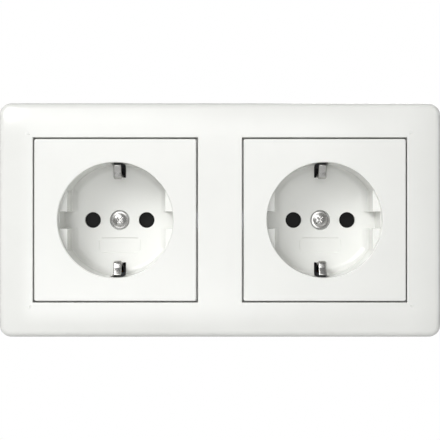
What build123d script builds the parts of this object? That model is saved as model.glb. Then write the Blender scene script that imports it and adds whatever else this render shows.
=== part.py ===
from build123d import *
import math
import os

# Double flush wall socket with earth tongues. All sizes are in millimetres.
# It is drawn as it is seen on the wall: x to the right, y up and z out of the wall, with the wall
# face at z = 0 and the origin midway between the two inserts. It is stood up only when it is written.

# Spacing of the two inserts
socket_spacing = 71.0

# Cover frame
frame_rise = 10.0
frame_wall = 2.0
frame_corner_radius = 4.6
frame_draft = 5.0
frame_edge_radius = 2.6
frame_crown_radius = 42.0
frame_lip_radius = 0.3
frame_land = 0.8
crown_spare = 6.0
frame_rib_thickness = 1.2
frame_rib_offset = 14.0
ledge_width = 2.8
ledge_thickness = 1.8
rim_bite = 0.1
ring_room = 3.1
ledge_clearance = 0.1

# Cover with its cup
cover_side = 55.0
cover_gap = 0.5
cover_proud = 0.5
cover_plate = 2.0
cover_skirt = 1.5
cover_corner_radius = 0.7
cover_edge_radius = 0.45
cover_rib_thickness = 1.2
cover_rib_setback = 2.5
cup_radius = 19.6
cup_depth = 17.5
cup_wall = 1.4
cup_floor = 2.0
cup_rim_radius = 0.35

# Guides for the plug at the sides of the cup
guide_flat = 16.8
guide_setback = 4.0
guide_groove = 5.9
guide_edge_radius = 0.3

# Pin holes, earth slots and sunk label field in the cup
pin_spacing = 19.0
pin_hole_radius = 2.8
pin_bore_ease = 0.2
earth_slot_width = 4.4
earth_slot_inner = 15.0
earth_slot_setback = 5.0
pad_length = 15.4
pad_height = 6.0
pad_sink = 0.25
pad_drop = 8.9
pad_corner_radius = 1.2

# Cover screw
screw_head_radius = 3.0
screw_head_height = 2.1
screw_shank_radius = 1.5
screw_length = 16.0
screw_dish_radius = 2.25
screw_dish_depth = 0.5
screw_recess_depth = 1.2
screw_cross_width = 0.8
screw_slot_length = 4.4
screw_cross_length = 3.1
counterbore_radius = 3.5
counterbore_depth = 2.2
screw_boss_radius = 4.4
screw_boss_reach = 2.0

# Earth strap
earth_width = 2.6
earth_thickness = 0.8
earth_body_width = 6.0
earth_crest = 14.35
earth_crest_depth = 9.6
earth_tip = 19.2
earth_tip_depth = 6.8
earth_leg_radius = 16.6
earth_bend_radius = 1.2
earth_side_clearance = 0.3
earth_flex_room = 2.0
earth_strap_gap = 1.0

# Support ring
ring_gap = 0.2
ring_thickness = 1.0
ring_opening = 21.5
ring_corner_cut = 7.0
box_screw_circle = 30.0
box_screw_slot_width = 3.6
box_screw_slot_arc = 18.0
rivet_radius = 1.25
rivet_clearance = 0.05
rivet_head_radius = 2.0
rivet_head_height = 0.8
rivet_circle = 24.9
rivet_length = 5.0

# Base and its rear cap
base_well_wall = 1.1
base_step = 1.2
base_height = 48.0
base_corner_radius = 8.0
base_depth = 32.0
cap_thickness = 1.5
cap_edge_radius = 0.5
seat_clearance = 0.3
chamber_width = 11.4
chamber_end = 20.0
chamber_start = 5.2
earth_chamber_start = 8.0
chamber_depth = 16.0
peg_radius = 1.2
peg_length = 3.0
hole_spare = 0.5
peg_x = 17.6
peg_y = 13.0

# Line and neutral contacts
contact_thickness = 0.8
contact_width = 5.0
contact_gap = 4.6
contact_mouth = 6.2
contact_set_in = 2.5
contact_bend_radius = 1.0
terminal_bar_start = 9.0
terminal_bar_end = 18.4

# Screwless terminals
wire_y = 13.4
wire_offset = 2.9
wire_hole_radius = 1.7
wire_lead_in = 0.5
clamp_thickness = 0.4
clamp_width = 6.8
clamp_set_in = 2.2
clamp_length = 9.8
clamp_tip_gap = 0.6
clamp_bend_radius = 0.6

# Release buttons
button_length = 8.4
button_height = 2.6
button_corner_radius = 0.4
button_edge_radius = 0.3
button_stand = 1.0
button_clearance = 0.15
button_stem = 1.8
button_stem_offset = 2.1
button_reach = 6.4
button_y = 17.6
button_flange = 0.6

# Claws with their screws and nut plates
claw_screw_radius = 1.5
claw_screw_gap = 0.2
claw_screw_head_radius = 2.6
claw_screw_head_height = 1.7
claw_screw_length = 24.0
claw_screw_clearance = 0.3
claw_pivot_depth = 12.0
claw_roll_radius = 0.8
claw_hinge_clearance = 0.08
claw_thickness = 1.2
claw_width = 12.0
claw_tooth_length = 7.5
claw_tooth_depth = 1.4
claw_teeth = 4
claw_angle = 45.0
nut_width = 5.0
nut_height = 8.0
nut_thickness = 2.0
nut_corner_radius = 0.4
nut_slack = 0.1

# Shutter and its spring
shutter_thickness = 1.6
shutter_play = 0.2
shutter_hub_wall = 1.4
shutter_hub_clearance = 0.06
shutter_vane_radius = 12.8
shutter_vane_angle = 42.0
shutter_ramp = 0.9
shutter_recess_clearance = 0.8
shutter_spring_wire = 0.5
shutter_spring_setback = 4.0
shutter_spring_sweep = 70.0

# Tolerance for finding edges
near = 0.01

# Sizes worked out from the ones above
ring_side = socket_spacing - ring_gap
frame_side = ring_side + 2 * (ring_room + frame_wall)
frame_width = frame_side + socket_spacing
window_side = cover_side + 2 * cover_gap
ledge_back = ring_thickness + rim_bite + ledge_clearance
ledge_top = ledge_back + ledge_thickness
cover_front = frame_rise + cover_proud
cup_floor_front = cover_front - cup_depth
cup_floor_back = cup_floor_front - cup_floor
cup_outer_radius = cup_radius + cup_wall
well_radius = cup_outer_radius + seat_clearance
ring_back = rim_bite
ring_front = ring_back + ring_thickness
counterbore_floor = cup_floor_front - counterbore_depth
boss_back = cup_floor_back - screw_boss_reach
shutter_recess_radius = shutter_vane_radius + shutter_recess_clearance
shutter_front = cup_floor_back - shutter_play
shutter_back = shutter_front - shutter_thickness
base_back = cap_thickness - base_depth
chamber_front = base_back + chamber_depth
strap_front = boss_back - earth_strap_gap
strap_back = strap_front - earth_thickness
pin_offset = pin_spacing / 2
base_width = 2 * (well_radius + base_well_wall)
base_waist = base_width - 2 * base_step
claw_pivot_x = base_waist / 2 + claw_screw_clearance
claw_pivot_z = -claw_pivot_depth
claw_screw_x = base_width / 2 + claw_screw_gap + claw_screw_radius
claw_reach = claw_screw_x + nut_width / 2 + claw_screw_clearance + claw_thickness / 2
insert_x = {"left": -socket_spacing / 2, "right": socket_spacing / 2}


def block(x_range, y_range, z_range):
    """Box between two limits along each direction."""
    size = [high - low for low, high in (x_range, y_range, z_range)]
    middle = [(high + low) / 2 for low, high in (x_range, y_range, z_range)]
    return Pos(*middle) * Box(*size)


def disc(radius, z_range, x=0.0, y=0.0):
    """Round bar along z between two heights."""
    low, high = z_range
    return Pos(x, y, (low + high) / 2) * Cylinder(radius, high - low)


def rounded_bar(width, height, radius, z_range, x=0.0, y=0.0):
    """Bar along z with a rounded rectangle as its section."""
    low, high = z_range
    return Pos(x, y, low) * extrude(RectangleRounded(width, height, radius), high - low)


def mirrored(shape, plane):
    """A shape together with its mirror image."""
    return shape + mirror(shape, about=plane)


def edges_between(shape, low, high):
    """Edges that lie wholly between two heights."""
    return shape.edges().filter_by(
        lambda e: e.bounding_box().min.Z > low and e.bounding_box().max.Z < high
    )


def edges_at(shape, height):
    """Edges that lie level at one height."""
    return edges_between(shape, height - near, height + near)


# Cover frame
def crown_height(distance, rise):
    """Height of the frame's gently domed front at a distance outside its windows."""
    return rise - frame_crown_radius + math.sqrt(frame_crown_radius**2 - distance**2)


def crowned_slab(half_x, half_y, reach, rise):
    """Slab that is flat over a rectangle and falls away in an arc round it, turned at its corners."""
    arc = ThreePointArc(
        (0, rise),
        (reach / 2, crown_height(reach / 2, rise)),
        (reach, crown_height(reach, rise)),
    )
    rest = Polyline((reach, crown_height(reach, rise)), (reach, 0), (0, 0), (0, rise))
    section = Plane.XZ * make_face(Curve() + [arc, rest])
    corner = revolve(section, Axis.Z, revolution_arc=90)
    beside = extrude(section, half_y)
    above = Rot(0, 0, 90) * extrude(section, -half_x)
    middle = block((-half_x, 0), (-half_y, 0), (0, rise))
    quarter = Pos(half_x, half_y, 0) * (corner + beside + above + middle)
    return mirrored(mirrored(quarter, Plane.YZ), Plane.XZ)


def frame_shape(inset):
    """Outer form of the frame, or the same form set in by a wall."""
    rise = frame_rise - inset
    half_x = (frame_width - frame_side + window_side) / 2 + frame_land
    half_y = window_side / 2 + frame_land
    reach = (frame_side - window_side) / 2 + crown_spare
    outline = RectangleRounded(
        frame_width - 2 * inset, frame_side - 2 * inset, frame_corner_radius - inset
    )
    prism = extrude(outline, frame_rise, taper=frame_draft)
    return prism & crowned_slab(half_x, half_y, reach, rise)


def cover_frame():
    """Double frame: domed shell, a collar and a ledge round each window, and ribs behind."""
    solid = frame_shape(0)
    edge_low = frame_rise / 2
    edge_high = frame_rise - cover_proud / 2
    solid = fillet(edges_between(solid, edge_low, edge_high), frame_edge_radius)
    collar_side = window_side + 2 * frame_wall
    keep = frame_shape(frame_wall)
    stiffeners = []
    for x in insert_x.values():
        stiffeners.append(
            block(
                (x - collar_side / 2, x + collar_side / 2),
                (-collar_side / 2, collar_side / 2),
                (ledge_back, frame_rise),
            )
        )
        for offset in (-frame_rib_offset, frame_rib_offset):
            stiffeners.append(
                block(
                    (x + offset - frame_rib_thickness / 2, x + offset + frame_rib_thickness / 2),
                    (-frame_side / 2, frame_side / 2),
                    (ledge_back, frame_rise),
                )
            )
    for offset in (-frame_rib_offset, frame_rib_offset):
        stiffeners.append(
            block(
                (-frame_width / 2, frame_width / 2),
                (offset - frame_rib_thickness / 2, offset + frame_rib_thickness / 2),
                (ledge_back, frame_rise),
            )
        )
    frame = solid - keep
    for piece in stiffeners:
        frame += piece & keep
    for x in insert_x.values():
        half = window_side / 2
        opening = half - ledge_width
        frame -= block((x - half, x + half), (-half, half), (ledge_top, frame_rise + 1))
        frame -= block((x - opening, x + opening), (-opening, opening), (-1, frame_rise))
        head_room = claw_screw_head_radius + claw_screw_clearance
        frame -= block((x - half, x + half), (-head_room, head_room), (-1, ledge_top + 1))
    lip = frame.edges().filter_by(
        lambda e: e.bounding_box().min.Z > frame_rise - near
        and abs(abs(e.center().Y) - window_side / 2) < near
    )
    sides = frame.edges().filter_by(
        lambda e: e.bounding_box().min.Z > frame_rise - near
        and min(abs(abs(e.center().X - x) - window_side / 2) for x in insert_x.values()) < near
    )
    return fillet(lip + sides, frame_lip_radius)


# Cover with its cup
def guide_blocks():
    """Flats at the sides of the cup that steer the plug, parted by a groove."""
    height = (cup_floor_front, cover_front - guide_setback)
    segment = disc(cup_radius + cup_wall / 2, height)
    segment -= block((-guide_flat, guide_flat), (-cup_radius, cup_radius), height)
    return segment - block(
        (-cup_outer_radius, cup_outer_radius), (-guide_groove / 2, guide_groove / 2), height
    )


def earth_slots(height):
    """Slots for the earth tongues, through the floor and up into the wall of the cup."""
    slot = block(
        (-earth_slot_width / 2, earth_slot_width / 2),
        (earth_slot_inner, cup_outer_radius + 1),
        height,
    )
    return mirrored(slot, Plane.XZ)


def cover():
    """Square cover with a skirt and a deep cup, moulded in one."""
    half = cover_side / 2
    shell = rounded_bar(cover_side, cover_side, cover_corner_radius, (ledge_top, cover_front))
    shell = fillet(edges_at(shell, cover_front), cover_edge_radius)
    inner = half - cover_skirt
    hollow = (ledge_top - 1, cover_front - cover_plate)
    shell -= block((-inner, inner), (-inner, inner), hollow)
    brace = block(
        (-cover_rib_thickness / 2, cover_rib_thickness / 2),
        (cup_outer_radius - cup_wall / 2, inner * math.sqrt(2) - cover_rib_thickness),
        (ledge_top + cover_rib_setback, cover_front - cover_plate / 2),
    )
    for turn in (45, 135, 225, 315):
        shell += Rot(0, 0, turn) * brace
    shell += disc(cup_outer_radius, (cup_floor_back, cover_front - cover_plate / 2))
    shell += disc(screw_boss_radius, (boss_back, cup_floor_back))
    shell -= disc(cup_radius, (cup_floor_front, cover_front + 1))
    rim = shell.edges().filter_by(GeomType.CIRCLE).filter_by(
        lambda e: abs(e.radius - cup_radius) < near and e.center().Z > cover_front - near
    )
    shell = fillet(rim, cup_rim_radius)
    shell += fillet(
        guide_blocks().edges().filter_by(
            lambda e: e.bounding_box().min.Z > cover_front - guide_setback - near
        ).filter_by(GeomType.LINE),
        guide_edge_radius,
    )
    shell -= rounded_bar(
        pad_length, pad_height, pad_corner_radius,
        (cup_floor_front - pad_sink, cup_floor_front + 1), y=-pad_drop,
    )
    slot_height = (cup_floor_back - 1, cover_front - earth_slot_setback)
    shell -= earth_slots(slot_height)
    for side in (-1, 1):
        x = side * pin_offset
        shell -= disc(pin_hole_radius, (cup_floor_back - 1, cup_floor_front + 1), x=x)
    shell -= disc(counterbore_radius, (counterbore_floor, cup_floor_front + 1))
    hole = screw_shank_radius + claw_screw_clearance
    return shell - disc(hole, (boss_back - 1, counterbore_floor + 1))


# Cover screw
def cover_screw():
    """Pan-head screw whose dished head has a cross recess with one longer slot."""
    under = counterbore_floor
    top = under + screw_head_height
    head = disc(screw_head_radius, (under, top))
    head = fillet(edges_at(head, top), screw_head_radius / 6)
    dish = (screw_dish_radius**2 + screw_dish_depth**2) / (2 * screw_dish_depth)
    head -= Pos(0, 0, top - screw_dish_depth + dish) * Sphere(dish)
    recess = (top - screw_recess_depth, top + 1)
    half = screw_cross_width / 2
    arm = screw_slot_length / 2
    head -= Rot(0, 0, 45) * block((-arm, arm), (-half, half), recess)
    head -= Rot(0, 0, 45) * block((-half, half), (-screw_cross_length / 2, screw_cross_length / 2), recess)
    shank = disc(screw_shank_radius, (under - screw_length, under))
    tip = edges_at(shank, under - screw_length)
    return head + chamfer(tip, screw_shank_radius / 3)


# Support ring
def box_screw_slot(turn):
    """Curved slot for a screw of the wall box."""
    arc = CenterArc(
        (0, 0), box_screw_circle, turn - box_screw_slot_arc / 2, box_screw_slot_arc
    )
    return extrude(SlotArc(arc, box_screw_slot_width), ring_front + 1)


def rivet_places():
    """Centres of the four rivets between ring and base."""
    reach = rivet_circle / math.sqrt(2)
    return [(sx * reach, sy * reach) for sx in (-1, 1) for sy in (-1, 1)]


def support_ring():
    """Flat pressed ring with cut corners, box screw slots and holes for claw screws and rivets."""
    half = ring_side / 2
    plate = block((-half, half), (-half, half), (ring_back, ring_front))
    plate = chamfer(plate.edges().filter_by(Axis.Z), ring_corner_cut)
    plate -= disc(ring_opening, (ring_back - 1, ring_front + 1))
    for turn in (0, 90, 180, 270):
        plate -= box_screw_slot(turn)
    for side in (-1, 1):
        plate -= disc(
            claw_screw_radius + claw_screw_clearance,
            (ring_back - 1, ring_front + 1),
            x=side * claw_screw_x,
        )
    for x, y in rivet_places():
        plate -= disc(rivet_radius + rivet_clearance, (ring_back - 1, ring_front + 1), x=x, y=y)
    return plate


def ring_rivets():
    """Four domed rivets, one solid each, from the ring into the base."""
    rivets = []
    for x, y in rivet_places():
        head = disc(rivet_head_radius, (ring_front, ring_front + rivet_head_height), x=x, y=y)
        top = ring_front + rivet_head_height
        head = chamfer(edges_at(head, top), rivet_head_height / 2)
        rivets.append(head + disc(rivet_radius, (ring_front - rivet_length, ring_front), x=x, y=y))
    return rivets


# Sheet metal bent along a path
def bent_strip(points, bend_radius, width, thickness, plane):
    """Strip of sheet that follows straight runs and round bends drawn in a plane."""
    line = FilletPolyline(*points, radius=bend_radius)
    ribbon = trace(line, thickness)
    return plane * extrude(ribbon, width / 2, both=True)


def earth_strap():
    """Bar under the cup with a sprung tongue at each end and a bar for the wires."""
    middle = (strap_front + strap_back) / 2
    crest = (earth_crest, cover_front - earth_crest_depth)
    tip = (earth_tip, cover_front - earth_tip_depth)
    route = [
        (earth_body_width / 2, middle),
        (earth_leg_radius, middle),
        (earth_leg_radius, cup_floor_back),
        crest,
        tip,
    ]
    tongue = bent_strip(route, earth_bend_radius, earth_width, earth_thickness, Plane.YZ)
    body_end = earth_leg_radius - 2 * earth_bend_radius
    body = block(
        (-earth_body_width / 2, earth_body_width / 2), (-body_end, body_end), (strap_back, strap_front)
    )
    body -= disc(screw_shank_radius + claw_screw_clearance, (strap_back - 1, strap_front + 1))
    bar = block(
        (-contact_thickness / 2, contact_thickness / 2),
        (-terminal_bar_end, -terminal_bar_start),
        (base_back + contact_set_in, strap_back),
    )
    return body + mirrored(tongue, Plane.XZ) + bar


# Base and its rear cap
def pole_chambers():
    """Pockets for the line and the neutral contact, open at the back."""
    half = chamber_width / 2
    pocket = block(
        (pin_offset - half, pin_offset + half),
        (-chamber_start, chamber_end),
        (base_back - 1, chamber_front),
    )
    return mirrored(pocket, Plane.YZ)


def earth_chamber():
    """Pocket for the earth terminals, open at the back."""
    half = chamber_width / 2
    return block((-half, half), (-chamber_end, -earth_chamber_start), (base_back - 1, chamber_front))


def base():
    """Moulded contact carrier with a well for the cup, a narrower body behind and open chambers."""
    solid = rounded_bar(base_waist, base_height, base_corner_radius, (base_back, ring_back))
    rim_back = cup_floor_back - cup_floor / 2
    solid += rounded_bar(base_width, base_height, base_corner_radius, (rim_back, ring_back))
    solid -= disc(well_radius, (cup_floor_back, ring_back + 1))
    solid -= disc(shutter_recess_radius, (boss_back, cup_floor_back + 1))
    channel = earth_body_width / 2 + earth_side_clearance
    channel_end = earth_leg_radius + earth_thickness
    solid -= block((-channel, channel), (-channel_end, channel_end), (strap_back, boss_back + 1))
    slot = earth_width / 2 + earth_side_clearance
    slot_end = earth_leg_radius + earth_flex_room
    solid -= block((-slot, slot), (-slot_end, slot_end), (strap_back, cup_floor_back + 1))
    bar_slot = contact_thickness / 2 + earth_side_clearance
    solid -= block(
        (-bar_slot, bar_slot),
        (-terminal_bar_end - earth_side_clearance, -terminal_bar_start + earth_side_clearance),
        (chamber_front - 1, strap_back + 1),
    )
    solid -= pole_chambers()
    solid -= earth_chamber()
    for side in (-1, 1):
        bore = pin_hole_radius + pin_bore_ease
        solid -= disc(bore, (chamber_front - 1, boss_back + 1), x=side * pin_offset)
        groove = Cylinder(claw_roll_radius + claw_hinge_clearance, claw_width + 1)
        solid -= Pos(side * claw_pivot_x, 0, claw_pivot_z) * Rot(90, 0, 0) * groove
        for end in (-1, 1):
            peg_hole = peg_radius + rivet_clearance
            height = (base_back - 1, base_back + peg_length + hole_spare)
            solid -= disc(peg_hole, height, x=side * peg_x, y=end * peg_y)
    screw_hole = screw_shank_radius + rivet_clearance
    screw_end = counterbore_floor - screw_length - 1
    solid -= disc(screw_hole, (screw_end, strap_front))
    for x, y in rivet_places():
        depth = (ring_front - rivet_length - hole_spare, ring_back + 1)
        solid -= disc(rivet_radius + rivet_clearance, depth, x=x, y=y)
    return solid


def terminal_places():
    """Middle of each pair of wires, with the side of the base that it lies on."""
    return {"line": (-pin_offset, 1), "neutral": (pin_offset, 1), "earth": (0.0, -1)}


def rear_cap():
    """Plate over the chambers with wire entries, button windows, pegs and contact stops."""
    back = -base_depth
    plate = rounded_bar(base_waist, base_height, base_corner_radius, (back, base_back))
    plate = chamfer(edges_at(plate, back), cap_edge_radius)
    for x, side in terminal_places().values():
        window_x = button_length / 2 + button_clearance
        window_y = button_height / 2 + button_clearance
        plate -= block(
            (x - window_x, x + window_x),
            (side * button_y - window_y, side * button_y + window_y),
            (back - 1, base_back + 1),
        )
        for offset in (-wire_offset, wire_offset):
            hole = Pos(x + offset, side * wire_y, 0)
            plate -= hole * disc(wire_hole_radius, (back - 1, base_back + 1))
            lead = Cone(wire_hole_radius + wire_lead_in, wire_hole_radius, wire_lead_in)
            plate -= hole * Pos(0, 0, back + wire_lead_in / 2) * lead
    for x in (-pin_offset, pin_offset):
        stop = contact_width / 4
        plate += block(
            (x - stop, x + stop), (-stop, stop), (base_back, base_back + contact_set_in)
        )
    for x in (-peg_x, peg_x):
        for y in (-peg_y, peg_y):
            plate += disc(peg_radius, (base_back, base_back + peg_length), x=x, y=y)
    return plate


# Contacts and terminals
def pole_contact(x):
    """Bent sheet contact with a sprung fork round the pin and a bar between the two wires."""
    back = base_back + contact_set_in
    web = back + contact_thickness / 2
    pinch = (contact_gap + contact_thickness) / 2
    mouth = (contact_mouth + contact_thickness) / 2
    middle = (chamber_front + web) / 2
    route = [(0, web), (mouth, web), (pinch, middle), (mouth, chamber_front - contact_thickness)]
    leaf = bent_strip(route, contact_bend_radius, contact_width, contact_thickness, Plane.XZ)
    fork = mirrored(leaf, Plane.YZ)
    link = block(
        (-contact_width / 4, contact_width / 4),
        (0, terminal_bar_start + contact_thickness),
        (back, back + contact_thickness),
    )
    bar = block(
        (-contact_thickness / 2, contact_thickness / 2),
        (terminal_bar_start, terminal_bar_end),
        (back, chamber_front),
    )
    return Pos(x, 0, 0) * (fork + link + bar)


def clamp_springs(x, side):
    """Two leaf springs, one solid each, that lean towards the bar between the wires."""
    wall = (chamber_width - clamp_thickness) / 2
    back = base_back + clamp_set_in
    front = back + clamp_length
    tip = (contact_thickness + clamp_thickness) / 2 + clamp_tip_gap
    route = [(wall, front), (wall, back), (tip, front)]
    leaf = bent_strip(route, clamp_bend_radius, clamp_width, clamp_thickness, Plane.XZ)
    middle = side * (wire_y + (button_y - wire_y) / 2)
    leaf = Pos(0, middle, 0) * leaf
    return [Pos(x, 0, 0) * leaf, Pos(x, 0, 0) * mirror(leaf, about=Plane.YZ)]


def release_button(x, side):
    """Push button with a retaining flange inside the cap and two stems that reach the springs."""
    y = side * button_y
    back = -base_depth - button_stand
    head = rounded_bar(
        button_length, button_height, button_corner_radius, (back, base_back), x=x, y=y
    )
    head = fillet(edges_at(head, back), button_edge_radius)
    flange_x = button_length / 2 + button_flange
    flange_y = button_height / 2 + button_flange
    flange = block(
        (x - flange_x, x + flange_x), (y - flange_y, y + flange_y), (base_back, base_back + button_flange)
    )
    button = head + flange
    for offset in (-button_stem_offset, button_stem_offset):
        half = button_stem / 2
        button += block(
            (x + offset - half, x + offset + half),
            (y - button_height / 4, y + button_height / 4),
            (base_back, base_back - cap_thickness + button_reach),
        )
    return button


# Spreading claws, drawn for the right side of an insert
def claw():
    """Bent claw with a roll that it pivots on, a fork round its screw and a toothed end."""
    drop = (claw_reach - claw_pivot_x) * math.tan(math.radians(claw_angle))
    bend = (claw_reach, claw_pivot_z - drop)
    end = (claw_reach, bend[1] - claw_tooth_length)
    route = [(claw_pivot_x, claw_pivot_z), bend, end]
    body = bent_strip(route, claw_thickness, claw_width, claw_thickness, Plane.XZ)
    roll = Cylinder(claw_roll_radius, claw_width)
    body += Pos(claw_pivot_x, 0, claw_pivot_z) * Rot(90, 0, 0) * roll
    room = claw_screw_radius + claw_screw_clearance
    body -= block(
        (claw_pivot_x - claw_thickness, claw_screw_x + nut_width / 2 + claw_screw_clearance / 2),
        (-room, room),
        (bend[1], 0),
    )
    pitch = claw_width / claw_teeth
    for tooth in range(claw_teeth + 1):
        y = (tooth - claw_teeth / 2) * pitch
        notch = Polyline(
            (y - pitch / 2, end[1]), (y, end[1] + claw_tooth_depth), (y + pitch / 2, end[1]),
            (y - pitch / 2, end[1]),
        )
        cut = Plane.YZ * extrude(make_face(notch), 4 * claw_thickness, both=True)
        body -= Pos(claw_reach, 0, 0) * cut
    return body


def nut_front():
    """Height of a nut plate's front face, where its outer edge meets the back of the claw."""
    run = claw_screw_x + nut_width / 2 - claw_pivot_x
    angle = math.radians(claw_angle)
    return claw_pivot_z - run * math.tan(angle) - claw_thickness / 2 / math.cos(angle) - nut_slack


def claw_nut():
    """Nut plate that the claw screw draws forward against the claw."""
    front = nut_front()
    height = (front - nut_thickness, front)
    plate = rounded_bar(nut_width, nut_height, nut_corner_radius, height, x=claw_screw_x)
    return plate - disc(
        claw_screw_radius + rivet_clearance, (front - nut_thickness - 1, front + 1), x=claw_screw_x
    )


def claw_screw():
    """Slotted cheese-head screw of a claw."""
    top = ring_front + claw_screw_head_height
    head = disc(claw_screw_head_radius, (ring_front, top))
    head = chamfer(edges_at(head, top), claw_screw_head_height / 5)
    half = screw_cross_width / 2
    head -= block(
        (-claw_screw_head_radius, claw_screw_head_radius), (-half, half),
        (top - claw_screw_head_height / 2, top + 1),
    )
    shank = disc(claw_screw_radius, (ring_front - claw_screw_length, ring_front))
    return Pos(claw_screw_x, 0, 0) * (head + shank)


def other_side(shape):
    """The same piece turned half round, for the left side of an insert."""
    return Rot(0, 0, 180) * shape


# Shutter
def shutter_hub_radius():
    """Outer radius of the shutter's hub."""
    return screw_boss_radius + shutter_hub_clearance + shutter_hub_wall


def shutter():
    """Rotor on the cup's boss with a ramped vane behind each pin hole."""
    height = (shutter_back, shutter_front)
    arc = CenterArc((0, 0), shutter_vane_radius, -shutter_vane_angle / 2, shutter_vane_angle)
    sides = Polyline(arc @ 1, (0, 0), arc @ 0)
    vane = Pos(0, 0, shutter_back) * extrude(make_face(Curve() + [arc, sides]), shutter_thickness)
    leading = vane.edges().filter_by(
        lambda e: e.bounding_box().min.Z > shutter_front - near and e.center().Y < -near
        and e.geom_type == GeomType.LINE
    )
    vane = chamfer(leading, shutter_ramp)
    rotor = disc(shutter_hub_radius(), height)
    rotor += vane
    rotor += Rot(0, 0, 180) * vane
    return rotor - disc(screw_boss_radius + shutter_hub_clearance, (shutter_back - 1, shutter_front + 1))


def shutter_spring():
    """Wire spring that lies round the shutter's hub, with a leg towards the base."""
    wire = shutter_spring_wire / 2
    radius = shutter_hub_radius() + wire + rivet_clearance
    start = shutter_vane_angle / 2 + shutter_spring_setback
    arc = CenterArc((0, 0), radius, start, shutter_spring_sweep)
    leg_end = arc @ 1 + (arc % 1) * (shutter_vane_radius / 2)
    leg = Line(arc @ 1, leg_end)
    path = Wire([arc.edge(), leg.edge()])
    section = Plane(origin=path @ 0, z_dir=path % 0) * Circle(wire)
    spring = sweep(section, path=path)
    return Pos(0, 0, (shutter_front + shutter_back) / 2) * spring


# Writing the pieces
def stand_up(shape, x):
    """Move a piece to its insert and stand it up, with its front towards -Y and its top up."""
    return Rot(90, 0, 0) * Pos(x, 0, 0) * shape


def write(name, shape, x=0.0):
    """Write one node, with each of its solids in place."""
    shapes = shape if isinstance(shape, list) else [shape]
    solids = [solid for item in shapes for solid in stand_up(item, x).solids()]
    node = solids[0] if len(solids) == 1 else Compound(children=solids)
    export_step(node, f"parts/{name}.step")


def insert_pieces():
    """Every piece of one insert, by name."""
    pieces = {
        "cover": cover(),
        "cover_screw": cover_screw(),
        "support_ring": support_ring(),
        "ring_rivets": ring_rivets(),
        "base": base(),
        "rear_cap": rear_cap(),
        "earth_strap": earth_strap(),
        "line_contact": pole_contact(-pin_offset),
        "neutral_contact": pole_contact(pin_offset),
        "shutter": shutter(),
        "shutter_spring": shutter_spring(),
    }
    for pole, (x, side) in terminal_places().items():
        pieces[f"{pole}_clamp_springs"] = clamp_springs(x, side)
        pieces[f"release_{pole}"] = release_button(x, side)
    for name, piece in (("claw", claw()), ("claw_nut", claw_nut()), ("claw_screw", claw_screw())):
        pieces[f"{name}_b"] = piece
        pieces[f"{name}_a"] = other_side(piece)
    return pieces


os.makedirs("parts", exist_ok=True)
write("cover_frame", cover_frame())
pieces = insert_pieces()
for insert, x in insert_x.items():
    for name, piece in pieces.items():
        write(f"{insert}_{name}", piece, x)
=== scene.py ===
import logging
import math
from collections.abc import Callable, Iterator, Sequence
from contextlib import contextmanager
from dataclasses import dataclass
from enum import Enum
from itertools import pairwise

import bmesh
import bpy
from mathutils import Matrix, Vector

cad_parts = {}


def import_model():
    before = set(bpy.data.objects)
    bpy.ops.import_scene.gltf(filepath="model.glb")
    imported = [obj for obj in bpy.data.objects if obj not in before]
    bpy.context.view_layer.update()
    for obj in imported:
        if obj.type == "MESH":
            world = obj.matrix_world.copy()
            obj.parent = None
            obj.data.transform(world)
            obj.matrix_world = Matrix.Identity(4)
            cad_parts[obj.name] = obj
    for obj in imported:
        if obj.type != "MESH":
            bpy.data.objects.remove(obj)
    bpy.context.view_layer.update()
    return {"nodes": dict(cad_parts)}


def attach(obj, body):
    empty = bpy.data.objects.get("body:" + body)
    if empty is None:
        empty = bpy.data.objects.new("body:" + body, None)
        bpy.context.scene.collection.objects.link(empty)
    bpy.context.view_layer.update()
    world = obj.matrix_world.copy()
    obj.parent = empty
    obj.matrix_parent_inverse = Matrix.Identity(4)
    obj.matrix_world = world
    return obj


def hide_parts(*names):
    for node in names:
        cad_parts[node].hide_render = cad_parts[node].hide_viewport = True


LOG = logging.getLogger("double_wall_socket")
MM = 0.001
# Points nearer to each other than this, in metres, are one.
SAME_PLACE = 1e-6
# Distance between the middles of the two inserts, in millimetres.
INSERT_SPACING = 71.0
# How far a cutter reaches past the face that it cuts, in millimetres.
CLEAR = 1.0
# Faces round a thread, and how far its root lies inside the shank, in millimetres.
THREAD_STEPS = 20
THREAD_SINK = 0.02
# Share by which the roughness of a finish varies.
WEAR = 0.15
# Largest Z of the normal of a face that counts as looking down.
DOWNWARD = -0.9

Colour = tuple[float, float, float]
Triple = tuple[float, float, float]
Point = tuple[float, float]
PlaceTest = Callable[[Vector, Vector], bool]


class Side(Enum):
    """The two inserts of the double socket, as the user sees them."""

    LEFT = "left"
    RIGHT = "right"

    def node(self, name: str) -> str:
        """Full name of one of this insert's nodes."""
        return f"{self.value}_{name}"

    @property
    def middle(self) -> float:
        """Place of the insert along X, in millimetres."""
        return -INSERT_SPACING / 2 if self is Side.LEFT else INSERT_SPACING / 2


class Combine(Enum):
    """How a tool changes a piece."""

    CUT = "DIFFERENCE"
    JOIN = "UNION"


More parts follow.
